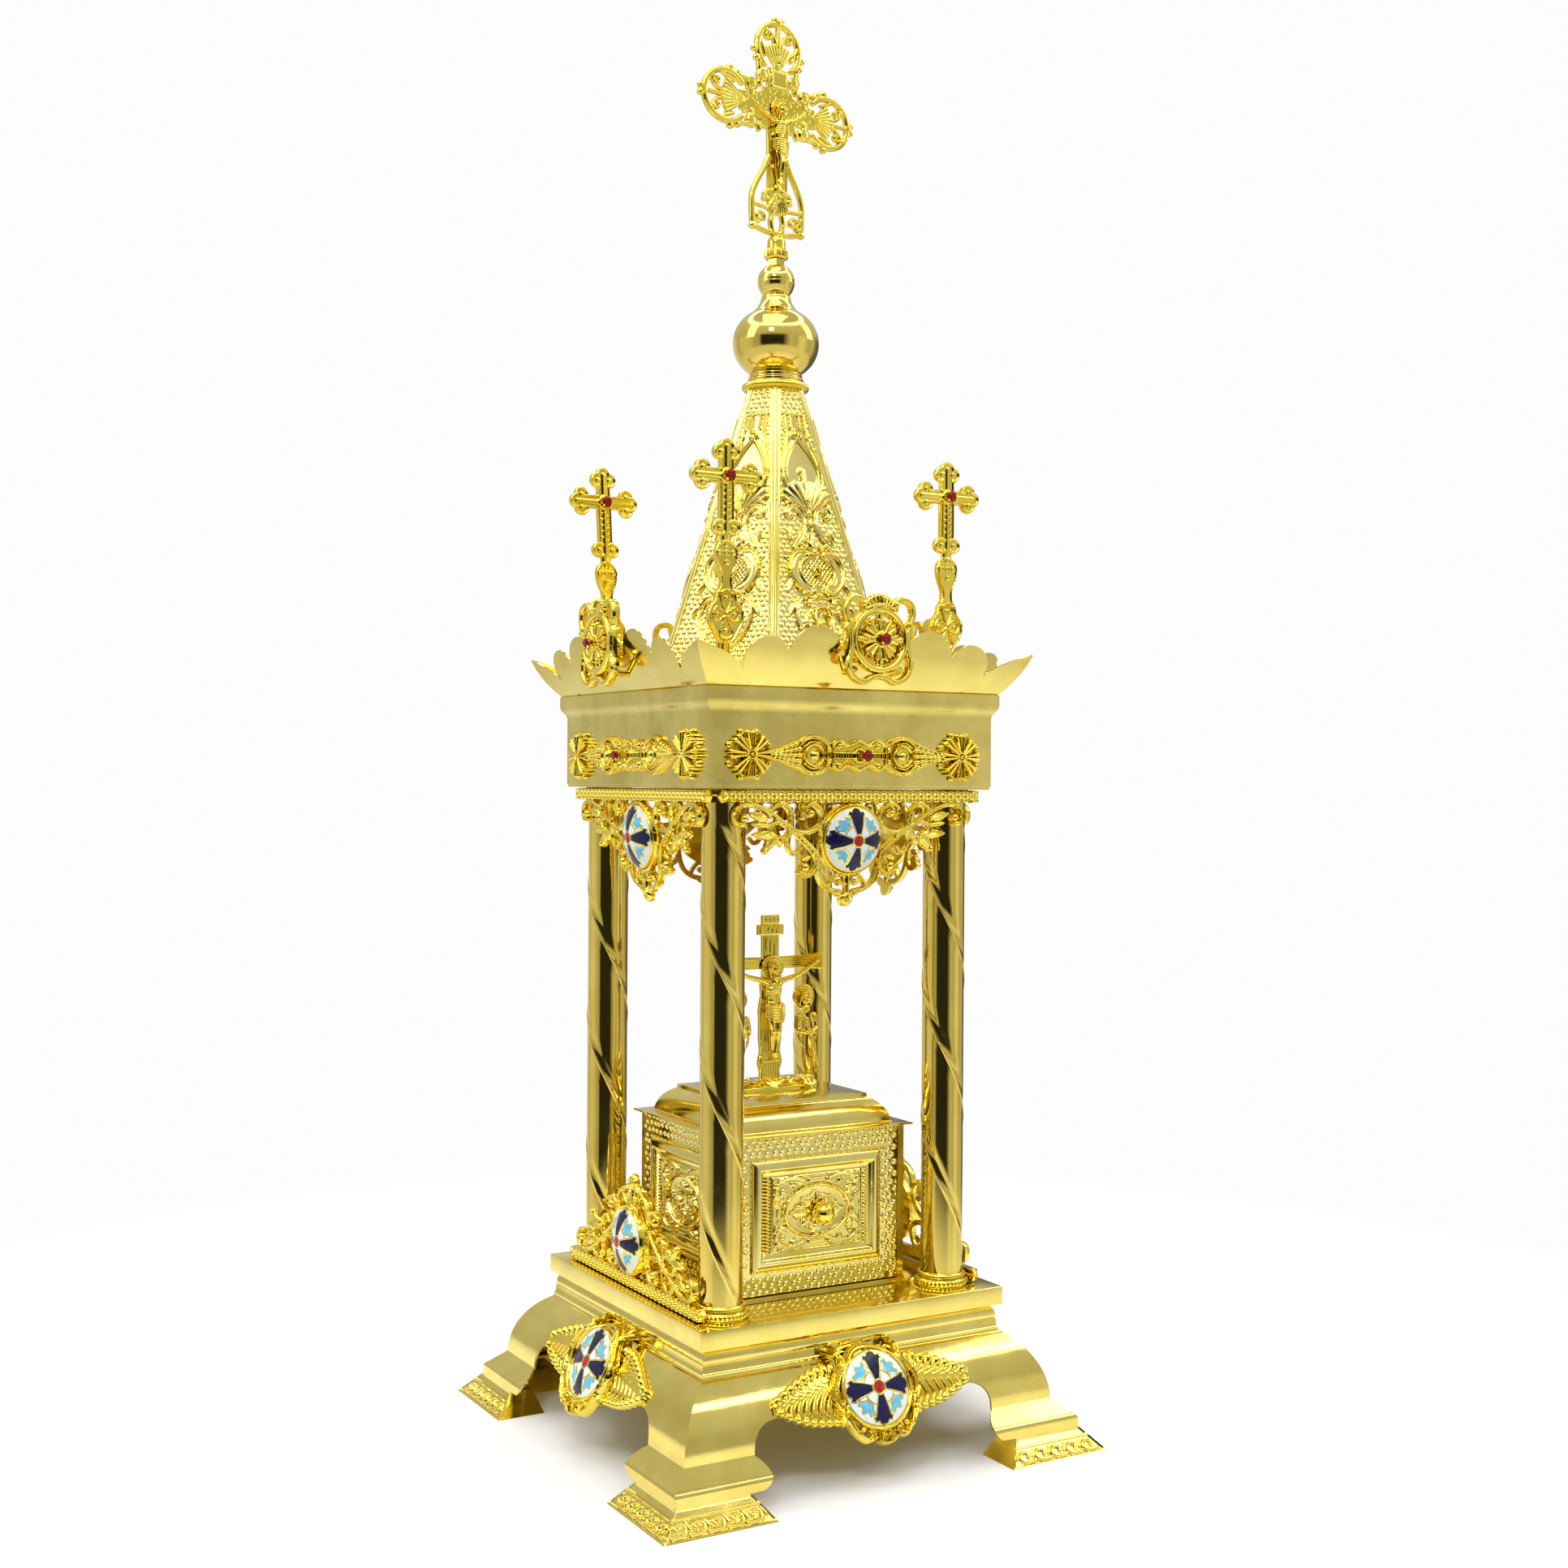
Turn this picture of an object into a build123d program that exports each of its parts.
"""Tabernacle box: a gilt brass canopy on four columns over a small casket with a drawer.

Frame: +Z up, origin on the floor under the middle of the base, front of the casket towards -Y.
All lengths are millimetres. Every separate piece is written as its own STEP file.
"""

import os

from build123d import *

os.makedirs("parts", exist_ok=True)

# ---------------------------------------------------------------- driving dimensions
SHEET = 1.2  # folded brass sheet of the deck and canopy
SKIRT_SHEET = 1.8  # the skirt's sheet, measured level
JOINT_GAP = 0.05  # solder gap left along a mitre

# base
FOOT_REACH = 136.5  # half width over the feet at the floor
FOOT_HEIGHT = 12.0
FOOT_TOP_REACH = 125.0
FOOT_END_LOW = 72.5  # where a foot block ends along the side, at the floor
FOOT_END_HIGH = 82.0  # and at its top
FOOT_INNER = 108.0
LEG_CREASE = 114.0  # half width at the sharp crease above the leg's cavetto
LEG_CREASE_Z = 26.5
NECK_REACH = 94.5  # half width where the ogee meets the neck moulding
NECK_Z = 61.0
SKIRT_TOP_REACH = 89.6
DECK_BOTTOM = 76.0
DECK_TOP = 86.0
DECK_HALF = 95.0
ARCH_FLAT = 57.0  # half length of the straight edge between the bracket legs
ARCH_Z = 41.8

# columns
COLUMN_PITCH = 70.5  # distance of each column axis from both centre planes
COLUMN_R = 12.1
COLUMN_WALL = 1.0
COLLAR_R = 14.4
COLLAR_HEIGHT = 7.2
COLLAR_NOTCH_R = 15.5  # relief cut in the castings' backs around each collar
ROD_R = 2.5
ROD_HOLE_R = 2.7
NUT_ACROSS = 8.0
NUT_HEIGHT = 4.0
WASHER_R = 5.0
WASHER_THICK = 1.0

# canopy
PLATE_BOTTOM = 362.6  # plate on which the columns end
FRIEZE_BOTTOM = 364.0
FRIEZE_HALF = 89.0
FRIEZE_TOP = 402.0
CORNICE_HALF = 92.3
CORNICE_TOP = 415.5
CROWN_SHEET = 1.0
CROWN_FOOT = 91.5  # half width of the crown where it stands on the cornice
CROWN_MID = (99.6, 425.5)
CROWN_TOP = (108.6, 451.0)
PETAL_VALLEYS = ((82.0, 424.5), (51.0, 433.0), (20.0, 437.0))
PETAL_PEAKS = ((66.0, 441.5), (35.0, 447.0))
PETAL_CENTRE_Z = 449.5
CORNER_TIP = (105.0, 437.5)

# pierced castings, shared by the valances above and the crestings on the deck
CASTING_HALF = 82.0
CASTING_BAR = 7.2
CASTING_DEPTH = 63.0
CASTING_THICK = 3.0
CASTING_BACK = 83.4  # half distance between the backs of facing castings
BAR_THICK = 4.6
DISC_R = 18.0
DISC_SEAT_R = 19.5
DISC_DROP = 27.0  # from the bar's outer edge to the disc's centre
DISC_THICK = 2.4
CASTING_EYES = (  # centre and radius of the openings on one half
    (27.0, -15.0, 4.6),
    (39.5, -14.0, 4.2),
    (52.0, -13.5, 4.2),
    (66.0, -14.5, 4.0),
    (29.5, -28.5, 3.6),
    (46.5, -24.0, 3.4),
)

# casket and drawer
CASKET_HALF = 55.0
CASKET_SHEET = 1.0
POST = 4.0
CASKET_FLOOR = 1.5
CASKET_TOP = 173.7
LID_FLANGE_HALF = 58.7
LID_FLANGE = 1.0
LID_TOP = 190.3
FRAME_HALF_X = 41.0  # raised picture frame pressed in each panel
FRAME_HALF_Z = 30.5
FRAME_WIDTH = 8.0
FRAME_RAISE = 2.6
PANEL_CENTRE_Z = 131.0
OVAL_X = 21.0
OVAL_Z = 14.5
DRAWER_HALF = 50.6
DRAWER_BOTTOM = 88.3
DRAWER_DEPTH = 100.0
DRAWER_HEIGHT = 52.0
TRAY_HALF = 47.5
KNOB_R = 6.2
KNOB_CENTRE_Y = -64.6

# spire, finial and top cross
SPIRE_APOTHEM = 66.0
SPIRE_TOP_APOTHEM = 15.0
SPIRE_TOP = 590.0
FLANGE_R = 19.2
ONION_R = 24.8
ONION_Z = 617.0
BALL_R = 10.7
BALL_Z = 653.2
HEX_ACROSS = 9.2
CAP_R = 6.9
CROSS_BASE = 677.0
CROSS_TOP = 805.0
CROSS_CENTRE_Z = 749.0
CROSS_THICK = 3.6


def keep(part, name):
    """Label a finished piece and write it."""
    part.label = name
    export_step(part, f"parts/{name}.step")


def turned(part, quarter_turns):
    """The same piece on another side of the square plan."""
    return part.rotate(Axis.Z, 90 * quarter_turns)


def group(pieces):
    """Several separate solids in one node."""
    return Compound(children=list(pieces))


SIDES = {"front": 0, "right": 1, "back": 2, "left": 3}
CORNERS = {"front_left": (-1, -1), "front_right": (1, -1), "back_right": (1, 1), "back_left": (-1, 1)}


def front_wedge(bottom, height, reach=160.0):
    """Quarter of the plan in front of the two diagonals, as a tall prism."""
    with BuildPart() as wedge:
        with BuildSketch(Plane.XY.offset(bottom)):
            with BuildLine():
                Polyline(
                    (0, -JOINT_GAP), (-reach, -reach - JOINT_GAP), (reach, -reach - JOINT_GAP), close=True
                )
            make_face()
        extrude(amount=height)
    return wedge.part


# ---------------------------------------------------------------- base
def skirt_area(inset):
    """Section through the front skirt: its face moved in by inset, closed well inside the base."""
    with BuildSketch(Plane.YZ) as area:
        with BuildLine():
            Polyline((inset - FOOT_TOP_REACH, FOOT_HEIGHT), (inset - FOOT_TOP_REACH, 15.5))
            ThreePointArc(
                (inset - FOOT_TOP_REACH, 15.5), (inset - 124.6, 17.4), (inset - 122.6, 19.2)
            )
            Line((inset - 122.6, 19.2), (inset - LEG_CREASE, LEG_CREASE_Z))
            ThreePointArc(
                (inset - LEG_CREASE, LEG_CREASE_Z), (inset - 109.0, 45.4), (inset - NECK_REACH, NECK_Z)
            )
            Polyline((inset - NECK_REACH, NECK_Z), (inset - 93.4, NECK_Z), (inset - 93.4, 65.0))
            ThreePointArc(
                (inset - 93.4, 65.0), (inset - 92.2, 70.5), (inset - SKIRT_TOP_REACH, 75.0)
            )
            Polyline(
                (inset - SKIRT_TOP_REACH, 75.0),
                (inset - SKIRT_TOP_REACH, DECK_BOTTOM),
                (-60, DECK_BOTTOM),
                (-60, FOOT_HEIGHT),
                (inset - FOOT_TOP_REACH, FOOT_HEIGHT),
            )
        make_face()
    return area.sketch


def arch_cut():
    """Opening between two bracket legs, as a prism through the front skirt."""
    with BuildPart() as arch:
        with BuildSketch(Plane.XZ.offset(60)):
            with BuildLine():
                Line((0, 0), (78.0, 0))
                Line((78.0, 0), (78.0, 12.2))
                ThreePointArc((78.0, 12.2), (71.0, 14.2), (68.8, 19.5))
                ThreePointArc((68.8, 19.5), (70.6, 23.2), (74.0, 26.0))
                ThreePointArc((74.0, 26.0), (72.5, 36.0), (ARCH_FLAT, ARCH_Z))
                Line((ARCH_FLAT, ARCH_Z), (0, ARCH_Z))
                Line((0, ARCH_Z), (0, 0))
            make_face()
            mirror(about=Plane.YZ)
        extrude(amount=90)
    return arch.part


with BuildPart() as skirt:
    extrude(skirt_area(0), amount=FOOT_REACH, both=True)
    extrude(skirt_area(SKIRT_SHEET), amount=FOOT_REACH, both=True, mode=Mode.SUBTRACT)
    add(front_wedge(0, DECK_BOTTOM), mode=Mode.INTERSECT)
    add(arch_cut(), mode=Mode.SUBTRACT)

for side, turns in SIDES.items():
    keep(turned(skirt.part, turns), f"skirt_{side}")


def foot_outline(reach, end, inner):
    """Plan of a foot block at one height: an L around the front left corner."""
    with BuildSketch() as plan:
        with BuildLine():
            Polyline(
                (-reach, -reach), (-end, -reach), (-end, -inner), (-inner, -inner), (-inner, -end), (-reach, -end),
                close=True,
            )
        make_face()
    return plan.sketch


with BuildPart() as foot:
    with BuildSketch(Plane.XY):
        add(foot_outline(FOOT_REACH, FOOT_END_LOW, FOOT_INNER))
    with BuildSketch(Plane.XY.offset(1.2)):
        add(foot_outline(FOOT_REACH, FOOT_END_LOW, FOOT_INNER))
    loft()
    with BuildSketch(Plane.XY.offset(1.2)):
        add(foot_outline(FOOT_REACH - 1.2, FOOT_END_LOW + 1.0, FOOT_INNER))
    with BuildSketch(Plane.XY.offset(FOOT_HEIGHT)):
        add(foot_outline(FOOT_TOP_REACH, FOOT_END_HIGH, FOOT_INNER + 4))
    loft()

for turns, corner in enumerate(CORNERS):
    keep(turned(foot.part, turns), f"foot_{corner}")

with BuildPart() as deck:
    with BuildSketch(Plane.XY.offset(DECK_BOTTOM)):
        Rectangle(2 * DECK_HALF, 2 * DECK_HALF)
    extrude(amount=DECK_TOP - DECK_BOTTOM)
    with BuildSketch(Plane.XY.offset(DECK_BOTTOM + SHEET)):
        Rectangle(2 * (DECK_HALF - SHEET), 2 * (DECK_HALF - SHEET))
    extrude(amount=DECK_TOP - DECK_BOTTOM - 2 * SHEET, mode=Mode.SUBTRACT)
    with BuildSketch(Plane.XY.offset(DECK_BOTTOM)):
        Rectangle(2 * (DECK_HALF - 10), 2 * (DECK_HALF - 10))
    extrude(amount=SHEET, mode=Mode.SUBTRACT)
    with Locations((0, 0, DECK_TOP)):
        with GridLocations(2 * COLUMN_PITCH, 2 * COLUMN_PITCH, 2, 2):
            Hole(ROD_HOLE_R, depth=2 * SHEET)
keep(deck.part, "deck_slab")


# ---------------------------------------------------------------- winged medallions
MEDALLION_BACK = 108.6
MEDALLION_Z = 48.6
WING_THICK = 3.2
BOSS_THICK = 4.2
MEDALLION_SEAT = MEDALLION_BACK + 2.4

with BuildPart() as winged_medallion:
    with BuildSketch(Plane.XZ.offset(90)):
        with Locations((0, MEDALLION_Z)):
            Circle(DISC_SEAT_R + 2.5)
        with BuildLine():
            Polyline((0, 66), (10, 71), (24, 66), (40, 63.5))
            ThreePointArc((40, 63.5), (54, 57), (61, 47))
            ThreePointArc((61, 47), (56, 38), (45, 32.5))
            ThreePointArc((45, 32.5), (33, 29.5), (20, 31))
            Polyline((20, 31), (0, 31), (0, 66))
        make_face()
        mirror(about=Plane.YZ)
    extrude(amount=40)
    extrude(skirt_area(-WING_THICK), amount=70, both=True, mode=Mode.INTERSECT)
    with BuildSketch(Plane.XZ.offset(94)):
        with Locations((0, MEDALLION_Z)):
            Circle(DISC_SEAT_R)
    extrude(amount=MEDALLION_BACK + BOSS_THICK - 94)
    extrude(skirt_area(0), amount=70, both=True, mode=Mode.SUBTRACT)
    with BuildSketch(Plane.XZ.offset(MEDALLION_BACK)):
        with Locations((0, 27.5)):
            Ellipse(12, 8.5)
        with Locations((0, MEDALLION_Z)):
            Circle(DISC_SEAT_R)
            Rectangle(60, 60, align=(Align.CENTER, Align.MIN), mode=Mode.SUBTRACT)
    extrude(amount=BOSS_THICK)
    add(skirt.part, mode=Mode.SUBTRACT)
    with BuildSketch(Plane.XZ.offset(MEDALLION_SEAT)):
        with Locations((0, MEDALLION_Z)):
            Circle(DISC_R + 0.05)
    extrude(amount=12, mode=Mode.SUBTRACT)
keep(group(turned(winged_medallion.part, turns) for turns in SIDES.values()), "winged_medallions")


# ---------------------------------------------------------------- columns and their fastening
with BuildPart() as column:
    with BuildSketch(Plane.XY.offset(DECK_TOP)):
        Circle(COLUMN_R)
        Circle(COLUMN_R - COLUMN_WALL, mode=Mode.SUBTRACT)
    extrude(amount=PLATE_BOTTOM - DECK_TOP)

for corner, (x_side, y_side) in CORNERS.items():
    keep(Pos(x_side * COLUMN_PITCH, y_side * COLUMN_PITCH, 0) * column.part, f"column_{corner}")

with BuildPart() as base_collars:
    with BuildSketch(Plane.XZ):
        with BuildLine():
            Line((COLUMN_R + 0.05, DECK_TOP), (COLLAR_R, DECK_TOP))
            ThreePointArc((COLLAR_R, DECK_TOP), (COLLAR_R + 0.9, DECK_TOP + 1.8), (COLLAR_R, DECK_TOP + 3.6))
            Line((COLLAR_R, DECK_TOP + 3.6), (COLLAR_R - 1.2, DECK_TOP + 4.2))
            ThreePointArc(
                (COLLAR_R - 1.2, DECK_TOP + 4.2),
                (COLLAR_R - 0.8, DECK_TOP + 6.2),
                (COLUMN_R + 0.8, DECK_TOP + COLLAR_HEIGHT),
            )
            Line((COLUMN_R + 0.8, DECK_TOP + COLLAR_HEIGHT), (COLUMN_R + 0.05, DECK_TOP + COLLAR_HEIGHT))
            Line((COLUMN_R + 0.05, DECK_TOP + COLLAR_HEIGHT), (COLUMN_R + 0.05, DECK_TOP))
        make_face()
    revolve(axis=Axis.Z)

with BuildPart() as top_collars:
    with BuildSketch(Plane.XY.offset(PLATE_BOTTOM - 4)):
        Circle(COLUMN_R + 1.2)
        Circle(COLUMN_R + 0.05, mode=Mode.SUBTRACT)
    extrude(amount=4)
    chamfer(top_collars.edges().group_by(Axis.Z)[0].sort_by(SortBy.RADIUS)[-1], 0.8)

with BuildPart() as tie_rod:
    with BuildSketch(Plane.XY.offset(DECK_BOTTOM - 1)):
        Circle(ROD_R)
    extrude(amount=FRIEZE_BOTTOM + 8 - DECK_BOTTOM + 1)

with BuildPart() as nut:
    with BuildSketch():
        RegularPolygon(NUT_ACROSS / 2, 6, major_radius=False)
        Circle(ROD_R + 0.02, mode=Mode.SUBTRACT)
    extrude(amount=NUT_HEIGHT)

with BuildPart() as washer:
    with BuildSketch():
        Circle(WASHER_R)
        Circle(ROD_HOLE_R, mode=Mode.SUBTRACT)
    extrude(amount=WASHER_THICK)

DECK_UNDERSIDE = DECK_TOP - SHEET
WASHER_LEVELS = (DECK_UNDERSIDE - WASHER_THICK, FRIEZE_BOTTOM)
NUT_LEVELS = (DECK_UNDERSIDE - WASHER_THICK - NUT_HEIGHT, FRIEZE_BOTTOM + WASHER_THICK)


def at_corners(part, levels=(0,)):
    """Copies of a piece on the four column axes, at each level."""
    spots = [(x * COLUMN_PITCH, y * COLUMN_PITCH, z) for x, y in CORNERS.values() for z in levels]
    return group(Pos(*spot) * part for spot in spots)


keep(at_corners(base_collars.part), "column_base_collars")
keep(at_corners(top_collars.part), "column_top_collars")
keep(at_corners(tie_rod.part), "tie_rods")
finial_washer_z = SPIRE_TOP - SHEET - WASHER_THICK
finial_nut_z = finial_washer_z - NUT_HEIGHT
keep(group([*at_corners(nut.part, NUT_LEVELS).children, Pos(0, 0, finial_nut_z) * nut.part]), "rod_nuts")
keep(
    group([*at_corners(washer.part, WASHER_LEVELS).children, Pos(0, 0, finial_washer_z) * washer.part]),
    "rod_washers",
)


# ---------------------------------------------------------------- pierced castings
def casting_plate():
    """Front view of the pierced casting, bar along the top edge, its apex hanging down."""
    with BuildSketch(Plane.XZ.offset(CASTING_BACK)) as plate:
        with BuildLine():
            Polyline((0, 0), (CASTING_HALF, 0), (CASTING_HALF, -CASTING_BAR), (77, -8.4))
            ThreePointArc((77, -8.4), (74.5, -19), (64, -22.5))
            Line((64, -22.5), (59, -24.8))
            ThreePointArc((59, -24.8), (56.5, -29.5), (52, -31))
            ThreePointArc((52, -31), (50, -35.4), (48, -31))
            ThreePointArc((48, -31), (42, -30.5), (37, -27))
            ThreePointArc((37, -27), (33.5, -34), (29.5, -39))
            ThreePointArc((29.5, -39), (26.5, -45.4), (21.5, -42.5))
            Line((21.5, -42.5), (18, -44))
            ThreePointArc((18, -44), (15, -52), (7, -56))
            Line((7, -56), (4.5, -58.5))
            ThreePointArc((4.5, -58.5), (3.2, -61.8), (0, -CASTING_DEPTH))
            Line((0, -CASTING_DEPTH), (0, 0))
        make_face()
        mirror(about=Plane.YZ)
        for x, z, radius in CASTING_EYES:
            with Locations((x, z), (-x, z)):
                Circle(radius, mode=Mode.SUBTRACT)
    return plate.sketch


with BuildPart() as valance:
    extrude(casting_plate(), amount=CASTING_THICK)
    with BuildSketch(Plane.XZ.offset(CASTING_BACK)):
        with Locations((0, -CASTING_BAR / 2)):
            Rectangle(2 * CASTING_HALF, CASTING_BAR)
        with Locations((0, -DISC_DROP)):
            Circle(DISC_SEAT_R)
    extrude(amount=BAR_THICK)
    with BuildSketch(Plane.XZ.offset(CASTING_BACK + 2.8)):
        with Locations((0, -DISC_DROP)):
            Circle(DISC_R + 0.05)
    extrude(amount=BAR_THICK, mode=Mode.SUBTRACT)

    with Locations((-COLUMN_PITCH, -COLUMN_PITCH, 0), (COLUMN_PITCH, -COLUMN_PITCH, 0)):
        Cylinder(COLLAR_NOTCH_R, 2 * (COLLAR_HEIGHT + 0.3), mode=Mode.SUBTRACT)

hung_valance = Pos(0, 0, PLATE_BOTTOM) * valance.part
standing_cresting = Pos(0, 0, DECK_TOP) * valance.part.mirror(Plane.XY)

for side, turns in SIDES.items():
    keep(turned(hung_valance, turns), f"valance_{side}")
for side in ("right", "back", "left"):
    keep(turned(standing_cresting, SIDES[side]), f"cresting_{side}")


# ---------------------------------------------------------------- enamel discs
def enamel_disc(back, height):
    """One low-domed enamelled disc standing in its seat on the front side."""
    with BuildPart() as disc:
        with BuildSketch(Plane.XZ.offset(back)):
            with Locations((0, height)):
                Circle(DISC_R)
        extrude(amount=DISC_THICK)
        fillet(disc.faces().sort_by(Axis.Y)[0].edges(), 0.9)
    return disc.part


medallion_disc = enamel_disc(MEDALLION_SEAT, MEDALLION_Z)
valance_disc = enamel_disc(CASTING_BACK + 2.8, PLATE_BOTTOM - DISC_DROP)
cresting_disc = enamel_disc(CASTING_BACK + 2.8, DECK_TOP + DISC_DROP)
discs = [turned(medallion_disc, turns) for turns in SIDES.values()]
discs += [turned(valance_disc, turns) for turns in SIDES.values()]
discs += [turned(cresting_disc, SIDES[side]) for side in ("right", "back", "left")]
keep(group(discs), "enamel_discs")


# ---------------------------------------------------------------- casket
PANEL_BOTTOM = DECK_TOP + CASKET_FLOOR
POST_INNER = CASKET_HALF - POST

with BuildPart() as casket_floor:
    with BuildSketch(Plane.XY.offset(DECK_TOP)):
        Rectangle(2 * CASKET_HALF + 0.8, 2 * CASKET_HALF + 0.8)
    extrude(amount=CASKET_FLOOR)
keep(casket_floor.part, "casket_floor")

with BuildPart() as casket_posts:
    with BuildSketch(Plane.XY.offset(PANEL_BOTTOM)):
        with GridLocations(2 * CASKET_HALF - POST, 2 * CASKET_HALF - POST, 2, 2):
            Rectangle(POST, POST)
    extrude(amount=CASKET_TOP - PANEL_BOTTOM)
keep(casket_posts.part, "casket_posts")


def pressed_relief(back):
    """Raised picture frame and oval medallion, standing in front of a panel's face."""
    with BuildPart() as relief:
        with BuildSketch(Plane.XZ.offset(back)):
            with Locations((0, PANEL_CENTRE_Z)):
                Rectangle(2 * FRAME_HALF_X, 2 * FRAME_HALF_Z)
                Rectangle(2 * (FRAME_HALF_X - FRAME_WIDTH), 2 * (FRAME_HALF_Z - FRAME_WIDTH), mode=Mode.SUBTRACT)
        extrude(amount=FRAME_RAISE)
        chamfer(relief.faces().sort_by(Axis.Y)[0].edges(), 1.6)
        with BuildSketch(Plane.XZ.offset(back)):
            with Locations((0, PANEL_CENTRE_Z)):
                Ellipse(OVAL_X, OVAL_Z)
        extrude(amount=1.2)
        with BuildSketch(Plane.XZ.offset(back)):
            with Locations((-31.5, PANEL_CENTRE_Z), (31.5, PANEL_CENTRE_Z)):
                Rectangle(3, 2 * (FRAME_HALF_Z - FRAME_WIDTH) + 1)
        extrude(amount=1.0)
    return relief.part


with BuildPart() as casket_panel:
    with BuildSketch(Plane.XZ.offset(CASKET_HALF - CASKET_SHEET)):
        with Locations((0, (PANEL_BOTTOM + CASKET_TOP) / 2)):
            Rectangle(2 * POST_INNER, CASKET_TOP - PANEL_BOTTOM)
    extrude(amount=CASKET_SHEET)
    add(pressed_relief(CASKET_HALF))

for side in ("right", "back", "left"):
    keep(turned(casket_panel.part, SIDES[side]), f"casket_{side}")

with BuildPart() as drawer_runners:
    with BuildSketch(Plane.XZ.offset(-POST_INNER)):
        for hand in (-1, 1):
            with Locations((hand * (TRAY_HALF + 2.5), PANEL_BOTTOM + 0.8)):
                Rectangle(7.6, 1.6)
            with Locations((hand * (TRAY_HALF + 3.6), PANEL_BOTTOM + 4)):
                Rectangle(1.2, 8)
    extrude(amount=2 * POST_INNER - 1)
keep(drawer_runners.part, "drawer_runners")


def lid_section(inset, floor):
    """Half-height section of the raised lid, symmetric about the centre plane."""
    with BuildSketch(Plane.XZ) as section:
        with BuildLine():
            Line((0, floor), (49.6 - inset, floor))
            ThreePointArc((49.6 - inset, floor), (47.3 - inset, 181.6 - inset), (41.0 - inset, 187.6 - inset))
            Polyline(
                (41.0 - inset, 187.6 - inset),
                (40.0 - inset, 188.4 - inset),
                (39.6 - inset, LID_TOP - inset),
                (0, LID_TOP - inset),
                (0, floor),
            )
        make_face()
        mirror(about=Plane.YZ)
    return section.sketch


def lid_bulk(inset, floor):
    """Square bulk whose four sides all follow the lid's section."""
    with BuildPart() as bulk:
        extrude(lid_section(inset, floor), amount=60, both=True)
    return bulk.part & turned(bulk.part, 1)


with BuildPart() as lid:
    with BuildSketch(Plane.XY.offset(CASKET_TOP)):
        Rectangle(2 * LID_FLANGE_HALF, 2 * LID_FLANGE_HALF)
    extrude(amount=LID_FLANGE)
    add(lid_bulk(0, CASKET_TOP + LID_FLANGE))
    add(lid_bulk(SHEET, CASKET_TOP), mode=Mode.SUBTRACT)
keep(lid.part, "casket_lid")


# ---------------------------------------------------------------- drawer
with BuildPart() as drawer_front:
    with BuildSketch(Plane.XZ.offset(CASKET_HALF - CASKET_SHEET)):
        with Locations((0, (DRAWER_BOTTOM + CASKET_TOP - 0.5) / 2)):
            Rectangle(2 * DRAWER_HALF, CASKET_TOP - 0.5 - DRAWER_BOTTOM)
    extrude(amount=CASKET_SHEET)
    add(pressed_relief(CASKET_HALF))
    with BuildSketch(Plane.XZ.offset(CASKET_HALF - CASKET_SHEET)):
        with Locations((0, PANEL_CENTRE_Z)):
            Circle(1.6)
    extrude(amount=4, mode=Mode.SUBTRACT)
keep(drawer_front.part, "drawer_front")

TRAY_BOTTOM = PANEL_BOTTOM + 2.0
TRAY_FRONT = -(CASKET_HALF - CASKET_SHEET)

with BuildPart() as drawer_tray:
    with BuildSketch(Plane.XY.offset(TRAY_BOTTOM)):
        with Locations((0, TRAY_FRONT + DRAWER_DEPTH / 2)):
            Rectangle(2 * TRAY_HALF, DRAWER_DEPTH)
    extrude(amount=DRAWER_HEIGHT)
    with BuildSketch(Plane.XY.offset(TRAY_BOTTOM + CASKET_SHEET)):
        with Locations((0, TRAY_FRONT + DRAWER_DEPTH / 2)):
            Rectangle(2 * (TRAY_HALF - CASKET_SHEET), DRAWER_DEPTH - 2 * CASKET_SHEET)
    extrude(amount=DRAWER_HEIGHT, mode=Mode.SUBTRACT)
    with BuildSketch(Plane.XZ.offset(CASKET_HALF - 3)):
        with Locations((0, PANEL_CENTRE_Z)):
            Circle(1.6)
    extrude(amount=4, mode=Mode.SUBTRACT)
keep(drawer_tray.part, "drawer_tray")

with BuildPart() as drawer_knob:
    with BuildSketch(Plane.XZ.offset(CASKET_HALF + 1.2)):
        with Locations((0, PANEL_CENTRE_Z)):
            Circle(3.6)
    extrude(amount=1.0)
    with BuildSketch(Plane.XZ.offset(CASKET_HALF + 2.2)):
        with Locations((0, PANEL_CENTRE_Z)):
            Circle(2.4)
    extrude(amount=3)
    with Locations((0, KNOB_CENTRE_Y, PANEL_CENTRE_Z)):
        Sphere(KNOB_R)
    with BuildSketch(Plane.XZ.offset(CASKET_HALF)):
        with Locations((0, PANEL_CENTRE_Z)):
            Circle(1.55)
    extrude(amount=8, mode=Mode.SUBTRACT)
keep(drawer_knob.part, "drawer_knob")

with BuildPart() as knob_screw:
    with BuildSketch(Plane.XZ.offset(CASKET_HALF - 2.0 - CASKET_SHEET + 1)):
        with Locations((0, PANEL_CENTRE_Z)):
            Circle(1.5)
    extrude(amount=8.5)
    with BuildSketch(Plane.XZ.offset(CASKET_HALF - 3.6)):
        with Locations((0, PANEL_CENTRE_Z)):
            Circle(3)
            Rectangle(4.6, 0.8, mode=Mode.SUBTRACT)
    extrude(amount=1.6)
keep(knob_screw.part, "drawer_knob_screw")


# ---------------------------------------------------------------- Calvary group on the lid
MOUND_TOP = LID_TOP + 5.5

with BuildPart() as calvary_base:
    with BuildSketch(Plane.XY.offset(LID_TOP)):
        SlotOverall(62, 22)
    with BuildSketch(Plane.XY.offset(MOUND_TOP)):
        SlotOverall(56, 15)
    loft()
keep(calvary_base.part, "calvary_base")

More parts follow.
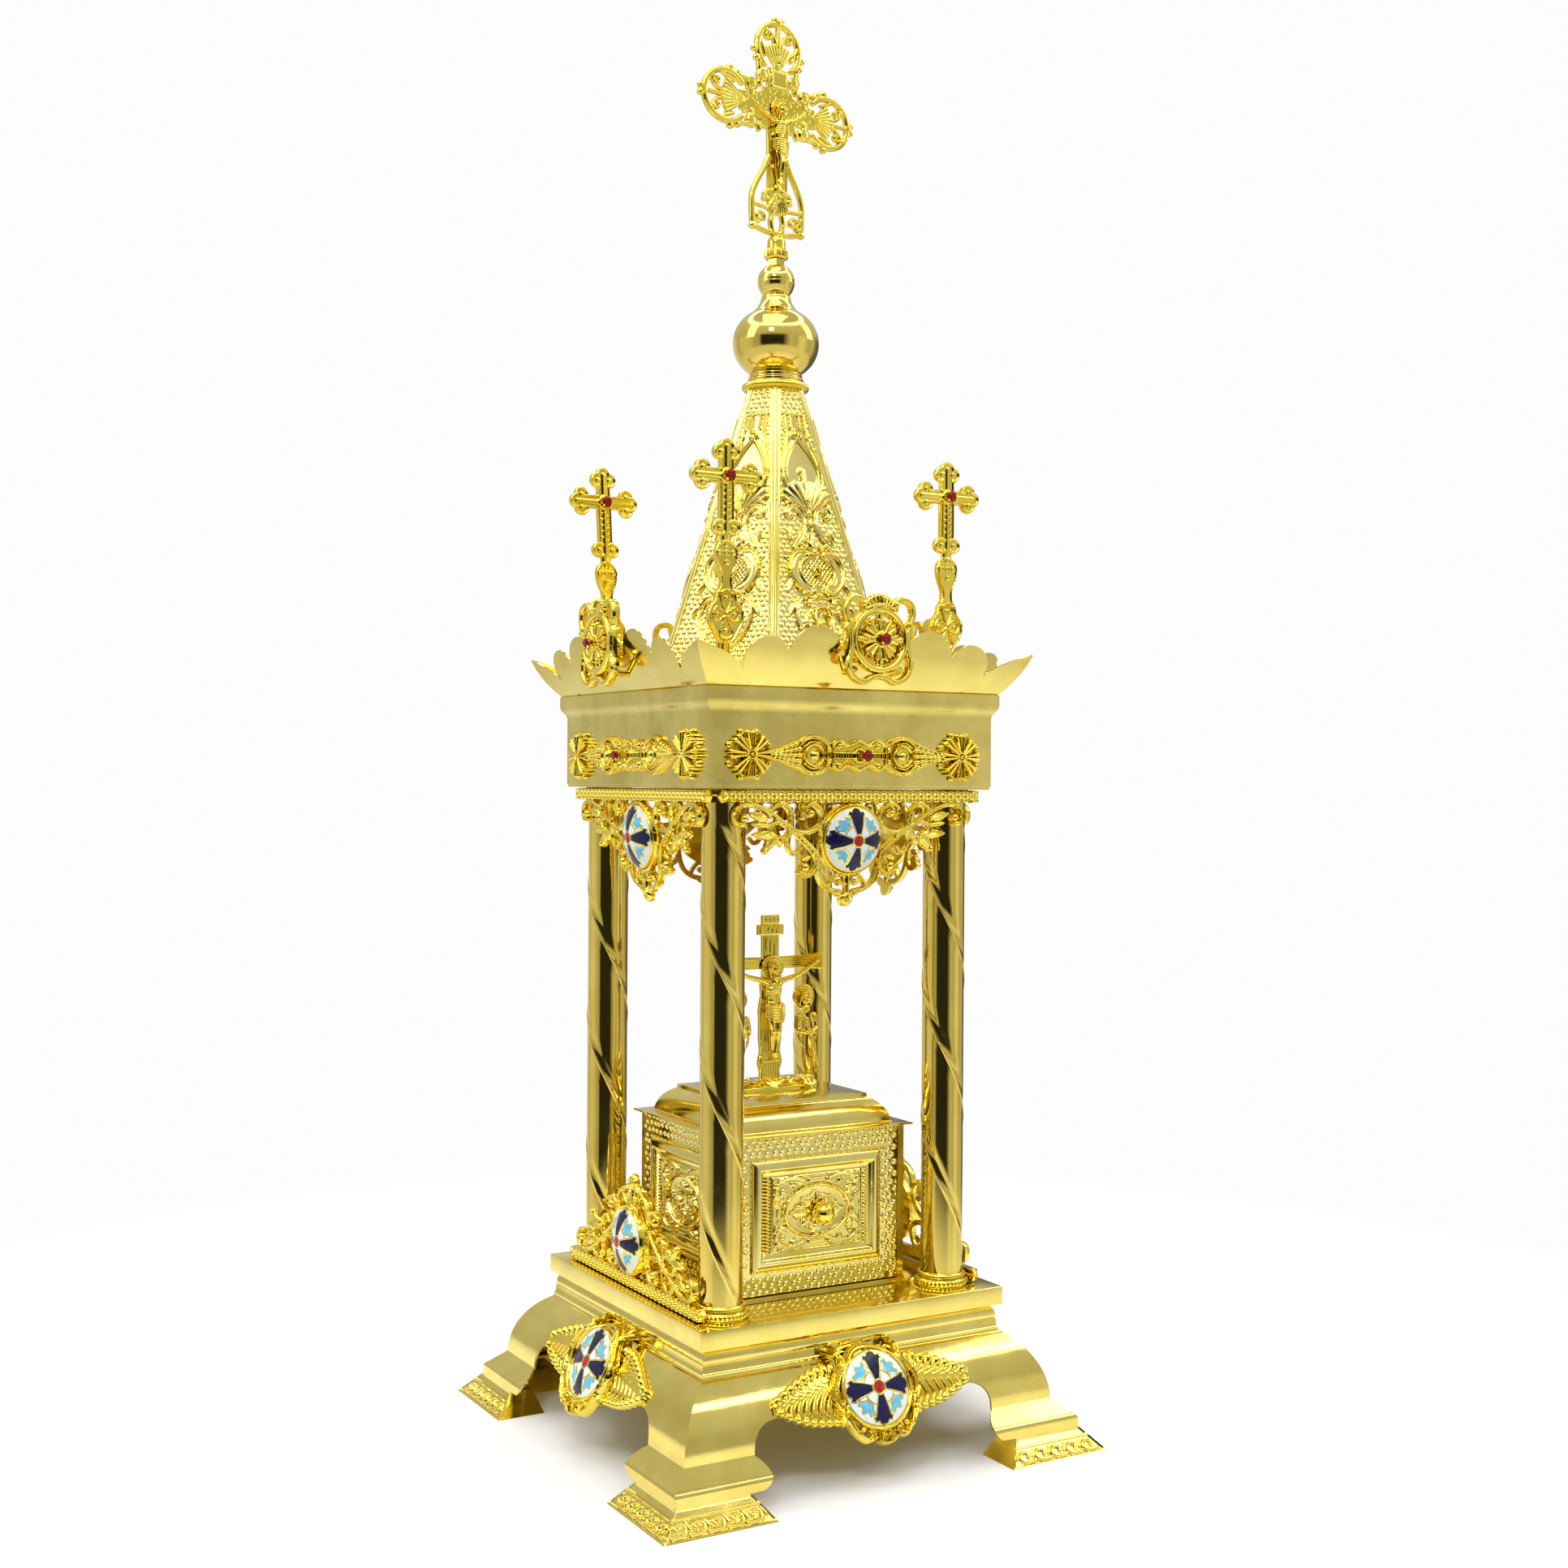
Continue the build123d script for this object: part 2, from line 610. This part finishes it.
with BuildPart() as calvary_cross:
    with BuildSketch(Plane.XZ.offset(-3.6)):
        with Locations((0, (MOUND_TOP + 289.4) / 2)):
            Rectangle(10.6, 289.4 - MOUND_TOP)
        with Locations((0, 262)):
            Rectangle(69, 9)
        with Locations((0, 281)):
            Rectangle(16.5, 6)
        with Locations((0, 207)):
            Rectangle(15, 4)
    extrude(amount=3.6)
keep(calvary_cross.part, "calvary_cross")

with BuildPart() as corpus:
    with BuildSketch(Plane.XY.offset(212)):
        with Locations((0, -3.2)):
            Ellipse(2.6, 2.4)
    with BuildSketch(Plane.XY.offset(234)):
        with Locations((0, -3.6)):
            Ellipse(4.4, 3.2)
    with BuildSketch(Plane.XY.offset(252)):
        with Locations((0, -3.4)):
            Ellipse(5.2, 3.0)
    loft()
    with BuildSketch(Plane.XZ.offset(1.0)):
        with BuildLine():
            Polyline((-30, 261), (-6, 250), (6, 250), (30, 261), (30, 264), (5, 256), (-5, 256), (-30, 264), close=True)
        make_face()
    extrude(amount=3)
    with Locations((0, -4.2, 259)):
        Sphere(3.6)
    with BuildSketch(Plane.XZ.offset(0.6)):
        with Locations((0, 260)):
            Circle(6.5)
    extrude(amount=1.2)
keep(corpus.part, "calvary_corpus")

with BuildPart() as standing_figure:
    with BuildSketch(Plane.XY.offset(MOUND_TOP)):
        Ellipse(6.6, 4.6)
    with BuildSketch(Plane.XY.offset(218)):
        Ellipse(5.4, 4.0)
    with BuildSketch(Plane.XY.offset(232)):
        Ellipse(6.0, 3.8)
    with BuildSketch(Plane.XY.offset(237)):
        Ellipse(2.6, 2.6)
    loft(ruled=True)
    with Locations((0, 0, 241)):
        Sphere(4.2)
    with BuildSketch(Plane.XZ.offset(-1.2)):
        with Locations((0, 242)):
            Circle(7.4)
    extrude(amount=1.2)
keep(Pos(22.5, 0, 0) * standing_figure.part, "calvary_figure_right")
keep(Pos(-22.5, 0, 0) * standing_figure.part, "calvary_figure_left")


# ---------------------------------------------------------------- canopy box
with BuildPart() as canopy_plate:
    with BuildSketch(Plane.XY.offset(PLATE_BOTTOM)):
        Rectangle(2 * FRIEZE_HALF - 1, 2 * FRIEZE_HALF - 1)
        with GridLocations(2 * COLUMN_PITCH, 2 * COLUMN_PITCH, 2, 2):
            Circle(ROD_HOLE_R, mode=Mode.SUBTRACT)
    extrude(amount=FRIEZE_BOTTOM - PLATE_BOTTOM)
keep(canopy_plate.part, "canopy_plate")


def frieze_area(inset):
    """Section through the front frieze and cornice, moved in by inset."""
    with BuildSketch(Plane.YZ) as area:
        with BuildLine():
            Line((inset - FRIEZE_HALF, FRIEZE_BOTTOM), (inset - FRIEZE_HALF, FRIEZE_TOP))
            ThreePointArc(
                (inset - FRIEZE_HALF, FRIEZE_TOP), (inset - 89.5, 404.0), (inset - 90.7, 405.8)
            )
            ThreePointArc(
                (inset - 90.7, 405.8), (inset - 91.9, 407.8), (inset - CORNICE_HALF, 410.2)
            )
            Polyline(
                (inset - CORNICE_HALF, 410.2),
                (inset - CORNICE_HALF, CORNICE_TOP),
                (-60, CORNICE_TOP),
                (-60, FRIEZE_BOTTOM),
                (inset - FRIEZE_HALF, FRIEZE_BOTTOM),
            )
        make_face()
    return area.sketch


with BuildPart() as frieze_side:
    extrude(frieze_area(0), amount=100, both=True)
    extrude(frieze_area(SHEET), amount=100, both=True, mode=Mode.SUBTRACT)
    add(front_wedge(FRIEZE_BOTTOM, CORNICE_TOP - FRIEZE_BOTTOM), mode=Mode.INTERSECT)
keep(group(turned(frieze_side.part, turns) for turns in SIDES.values()), "frieze_sides")

with BuildPart() as roof_plate:
    with BuildSketch(Plane.XY.offset(CORNICE_TOP - SHEET)):
        Rectangle(2 * (CORNICE_HALF - SHEET), 2 * (CORNICE_HALF - SHEET))
    extrude(amount=SHEET)
keep(roof_plate.part, "roof_plate")


def crown_area(inset):
    """Section through the front crown sheet, moved in by inset."""
    with BuildSketch(Plane.YZ) as area:
        with BuildLine():
            ThreePointArc(
                (inset - CROWN_FOOT, CORNICE_TOP),
                (inset - CROWN_MID[0], CROWN_MID[1]),
                (inset - CROWN_TOP[0], CROWN_TOP[1]),
            )
            Polyline(
                (inset - CROWN_TOP[0], CROWN_TOP[1]),
                (-60, CROWN_TOP[1]),
                (-60, CORNICE_TOP),
                (inset - CROWN_FOOT, CORNICE_TOP),
            )
        make_face()
    return area.sketch


def petal_prism():
    """Front view of the crown's petal edge, as a prism through the front side."""
    with BuildPart() as prism:
        with BuildSketch(Plane.XZ.offset(60)):
            with BuildLine():
                Polyline((0, CORNICE_TOP - 1), (112, CORNICE_TOP - 1), (112, CORNER_TIP[1] + 1.5), CORNER_TIP)
                Line(CORNER_TIP, PETAL_VALLEYS[0])
                ThreePointArc(PETAL_VALLEYS[0], PETAL_PEAKS[0], PETAL_VALLEYS[1])
                ThreePointArc(PETAL_VALLEYS[1], PETAL_PEAKS[1], PETAL_VALLEYS[2])
                RadiusArc(PETAL_VALLEYS[2], (0, PETAL_CENTRE_Z), 21)
                Line((0, PETAL_CENTRE_Z), (0, CORNICE_TOP - 1))
            make_face()
            mirror(about=Plane.YZ)
        extrude(amount=60)
    return prism.part


with BuildPart() as crown_side:
    extrude(crown_area(0), amount=112, both=True)
    extrude(crown_area(CROWN_SHEET), amount=112, both=True, mode=Mode.SUBTRACT)
    add(front_wedge(CORNICE_TOP, CROWN_TOP[1] - CORNICE_TOP), mode=Mode.INTERSECT)
    add(petal_prism(), mode=Mode.INTERSECT)
keep(group(turned(crown_side.part, turns) for turns in SIDES.values()), "crown_sides")


# ---------------------------------------------------------------- ornaments on the canopy
ORNAMENT_Z = 381.0

with BuildPart() as frieze_ornament:
    with BuildSketch(Plane.XZ.offset(FRIEZE_HALF)):
        with Locations((0, ORNAMENT_Z)):
            Rectangle(110, 6)
            Rectangle(40, 15)
        with Locations((-28, ORNAMENT_Z), (28, ORNAMENT_Z)):
            Ellipse(13, 9)
        with Locations((-66, ORNAMENT_Z), (66, ORNAMENT_Z)):
            Circle(14.2)
    extrude(amount=3.4)
    with BuildSketch(Plane.XZ.offset(FRIEZE_HALF)):
        with Locations((0, ORNAMENT_Z)):
            Circle(4.4)
    extrude(amount=4.4)
keep(group(turned(frieze_ornament.part, turns) for turns in SIDES.values()), "frieze_ornaments")

CARTOUCHE_BACK = 108.6
CARTOUCHE_Z = 441.3

with BuildPart() as cartouche:
    with BuildSketch(Plane.XZ.offset(CARTOUCHE_BACK)):
        with Locations((0, CARTOUCHE_Z)):
            Circle(17.5)
            Circle(12.5, mode=Mode.SUBTRACT)
            Circle(5.5)
            with PolarLocations(0, 4, start_angle=22.5):
                Rectangle(26, 3)
        with Locations((0, 459.5)):
            Ellipse(12, 5.5)
        with Locations((-17.5, 456), (17.5, 456)):
            Circle(6)
            Circle(3, mode=Mode.SUBTRACT)
        with Locations((-14, 425.5), (14, 425.5)):
            Circle(6.5)
    extrude(amount=3.6)
    with BuildSketch(Plane.XZ.offset(95)):
        with Locations((-14, 421), (14, 421)):
            Rectangle(4, 4)
    extrude(amount=CARTOUCHE_BACK - 95)
    extrude(crown_area(0), amount=60, both=True, mode=Mode.SUBTRACT)
keep(group(turned(cartouche.part, turns) for turns in SIDES.values()), "cartouches")

SMALL_CROSS_Z = 526.5
SMALL_CROSS_THICK = 3.2
SMALL_CROSS_FOOT = 432.5

with BuildPart() as corner_cross:
    with BuildSketch(Plane.XZ.offset(-SMALL_CROSS_THICK / 2)):
        with Locations((0, SMALL_CROSS_Z)):
            Rectangle(32, 7.4)
        with Locations((0, (SMALL_CROSS_FOOT + 6 + 540) / 2)):
            Rectangle(6.6, 540 - SMALL_CROSS_FOOT - 6)
        for x, z in ((-14.5, SMALL_CROSS_Z), (14.5, SMALL_CROSS_Z), (0, SMALL_CROSS_Z + 14)):
            with Locations((x, z)):
                with PolarLocations(4.6, 4):
                    Circle(4.0)
                Circle(4.6)
        with Locations((0, 497.6)):
            Ellipse(8.9, 6.6)
        with Locations((0, 483.6)):
            Ellipse(7.8, 9)
        with Locations((0, 452)):
            Ellipse(10.2, 14)
        with Locations((0, 468)):
            Rectangle(8, 22)
    extrude(amount=SMALL_CROSS_THICK)
    with BuildSketch(Plane.XY.offset(CORNICE_TOP)):
        with Locations((0, 5)):
            Rectangle(7, 9)
    extrude(amount=1.6)
    with BuildSketch(Plane.YZ.offset(-2)):
        with BuildLine():
            Polyline((1.4, CORNICE_TOP), (4.6, CORNICE_TOP))
            ThreePointArc((4.6, CORNICE_TOP), (8.5, 440), (1.4, 466))
            Polyline((1.4, 466), (-0.4, 466), (-0.4, 455))
            ThreePointArc((-0.4, 455), (5, 437), (1.4, CORNICE_TOP))
        make_face()
    extrude(amount=4)
keep(at_corners(corner_cross.part), "corner_crosses")


def gem(at, radius):
    """Round faceted stone, flat back towards +Y."""
    with BuildPart() as stone:
        with BuildSketch(Plane.XZ.offset(-at[1])):
            with Locations((at[0], at[2])):
                RegularPolygon(radius, 12)
        extrude(amount=2.2, taper=28)
    return stone.part


GEM_R = 3.3
frieze_gem = gem((0, -(FRIEZE_HALF + 4.4), ORNAMENT_Z), GEM_R)
cartouche_gem = gem((0, -(CARTOUCHE_BACK + 3.6), CARTOUCHE_Z), GEM_R)
gems = [turned(frieze_gem, turns) for turns in SIDES.values()]
gems += [turned(cartouche_gem, turns) for turns in SIDES.values()]
gems += [
    gem((x * COLUMN_PITCH, y * COLUMN_PITCH - SMALL_CROSS_THICK / 2, SMALL_CROSS_Z), GEM_R)
    for x, y in CORNERS.values()
]
keep(group(gems), "gems")


# ---------------------------------------------------------------- spire and finial
with BuildPart() as spire:
    with BuildSketch(Plane.XY.offset(CORNICE_TOP)):
        RegularPolygon(SPIRE_APOTHEM, 6, major_radius=False)
    with BuildSketch(Plane.XY.offset(SPIRE_TOP)):
        RegularPolygon(SPIRE_TOP_APOTHEM, 6, major_radius=False)
    loft()
    with BuildSketch(Plane.XY.offset(CORNICE_TOP)):
        RegularPolygon(SPIRE_APOTHEM - SHEET, 6, major_radius=False)
    with BuildSketch(Plane.XY.offset(SPIRE_TOP - SHEET)):
        RegularPolygon(SPIRE_TOP_APOTHEM - SHEET, 6, major_radius=False)
    loft(mode=Mode.SUBTRACT)
    with Locations((0, 0, SPIRE_TOP)):
        Hole(ROD_HOLE_R, depth=3 * SHEET)
keep(spire.part, "spire")

ONION_FOOT = SPIRE_TOP + 4.8
ONION_TOP = 645.0
HEX_BOTTOM = 661.6
CAP_BOTTOM = 666.2

with BuildPart() as finial_flange:
    with BuildSketch(Plane.XZ):
        with BuildLine():
            Line((ROD_HOLE_R, SPIRE_TOP), (FLANGE_R - 1.4, SPIRE_TOP))
            ThreePointArc((FLANGE_R - 1.4, SPIRE_TOP), (FLANGE_R, SPIRE_TOP + 2.0), (FLANGE_R - 0.8, SPIRE_TOP + 3.8))
            Line((FLANGE_R - 0.8, SPIRE_TOP + 3.8), (FLANGE_R - 2.4, ONION_FOOT))
            Line((FLANGE_R - 2.4, ONION_FOOT), (ROD_HOLE_R, ONION_FOOT))
            Line((ROD_HOLE_R, ONION_FOOT), (ROD_HOLE_R, SPIRE_TOP))
        make_face()
    revolve(axis=Axis.Z)
keep(finial_flange.part, "finial_flange")


def onion_profile(inset):
    """Half section of the onion dome, moved in by inset, down to its foot."""
    with BuildSketch(Plane.XZ) as profile:
        with BuildLine():
            Polyline(
                (ROD_HOLE_R, ONION_TOP - inset),
                (ROD_HOLE_R, ONION_FOOT),
                (14.8 - inset, ONION_FOOT),
                (14.8 - inset, 600.2),
            )
            ThreePointArc(
                (14.8 - inset, 600.2), (ONION_R - inset, ONION_Z), (15.6 - inset, 634.2 - inset / 2)
            )
            ThreePointArc(
                (15.6 - inset, 634.2 - inset / 2), (10.2 - inset, 639.4 - inset / 2), (8.3 - inset, ONION_TOP - inset)
            )
            Line((8.3 - inset, ONION_TOP - inset), (ROD_HOLE_R, ONION_TOP - inset))
        make_face()
    return profile.sketch


with BuildPart() as onion_dome:
    revolve(onion_profile(0), axis=Axis.Z)
    revolve(onion_profile(SHEET), axis=Axis.Z, mode=Mode.SUBTRACT)
keep(onion_dome.part, "onion_dome")

with BuildPart() as finial_ball:
    with Locations((0, 0, BALL_Z)):
        Sphere(BALL_R)
    with BuildSketch(Plane.XY.offset(ONION_TOP)):
        Circle(BALL_R + 1)
    extrude(amount=HEX_BOTTOM - ONION_TOP, mode=Mode.INTERSECT)
    with Locations((0, 0, BALL_Z)):
        Hole(ROD_HOLE_R)
keep(finial_ball.part, "finial_ball")

with BuildPart() as finial_hex_neck:
    with BuildSketch(Plane.XY.offset(HEX_BOTTOM)):
        RegularPolygon(HEX_ACROSS / 2, 6, major_radius=False)
        Circle(ROD_HOLE_R, mode=Mode.SUBTRACT)
    extrude(amount=CAP_BOTTOM - HEX_BOTTOM)
keep(finial_hex_neck.part, "finial_hex_neck")

ROD_TOP = 671.0
DOME_R = 5.2
DOME_CENTRE_Z = 675.6

with BuildPart() as finial_cap:
    with BuildSketch(Plane.XZ):
        with BuildLine():
            Polyline(
                (0, DOME_CENTRE_Z + DOME_R),
                (0, CAP_BOTTOM),
                (CAP_R - 0.8, CAP_BOTTOM),
                (CAP_R, CAP_BOTTOM + 1),
                (CAP_R, 670.6),
                (DOME_R, 672),
                (DOME_R, DOME_CENTRE_Z),
            )
            CenterArc((0, DOME_CENTRE_Z), DOME_R, 0, 90)
        make_face()
    revolve(axis=Axis.Z)
    with BuildSketch(Plane.XY.offset(CAP_BOTTOM)):
        Circle(ROD_R + 0.02)
    extrude(amount=ROD_TOP - CAP_BOTTOM + 0.5, mode=Mode.SUBTRACT)
keep(finial_cap.part, "finial_cap")

with BuildPart() as finial_rod:
    with BuildSketch(Plane.XY.offset(finial_nut_z - 2)):
        Circle(ROD_R)
    extrude(amount=ROD_TOP - finial_nut_z + 2)
keep(finial_rod.part, "finial_rod")

with BuildPart() as top_cross:
    with BuildSketch(Plane.XZ.offset(-CROSS_THICK / 2)):
        with Locations((0, CROSS_CENTRE_Z)):
            Rectangle(60, 15)
            RegularPolygon(17, 4, rotation=0)
        with Locations((0, 730)):
            Rectangle(14, 86)
        for x, z in ((-35, CROSS_CENTRE_Z), (35, CROSS_CENTRE_Z), (0, 783)):
            with Locations((x, z)):
                Circle(16.3)
                with PolarLocations(16.2, 8, start_angle=22.5):
                    Circle(2.8)
        with Locations((0, 802)):
            Circle(3)
        with Locations((0, 699)):
            Ellipse(19.6, 21)
        for x, z in ((-35, CROSS_CENTRE_Z), (35, CROSS_CENTRE_Z), (0, 783)):
            with Locations((x, z)):
                with PolarLocations(10.5, 6):
                    Circle(3.0, mode=Mode.SUBTRACT)
        for hand in (-1, 1):
            with Locations((hand * 12, 701)):
                Ellipse(3.4, 10, mode=Mode.SUBTRACT)
            with Locations((hand * 11, 685)):
                Circle(3.2, mode=Mode.SUBTRACT)
        with Locations((0, 679.4)):
            Rectangle(11.4, 4.9, mode=Mode.SUBTRACT)
    extrude(amount=CROSS_THICK)
keep(top_cross.part, "top_cross")
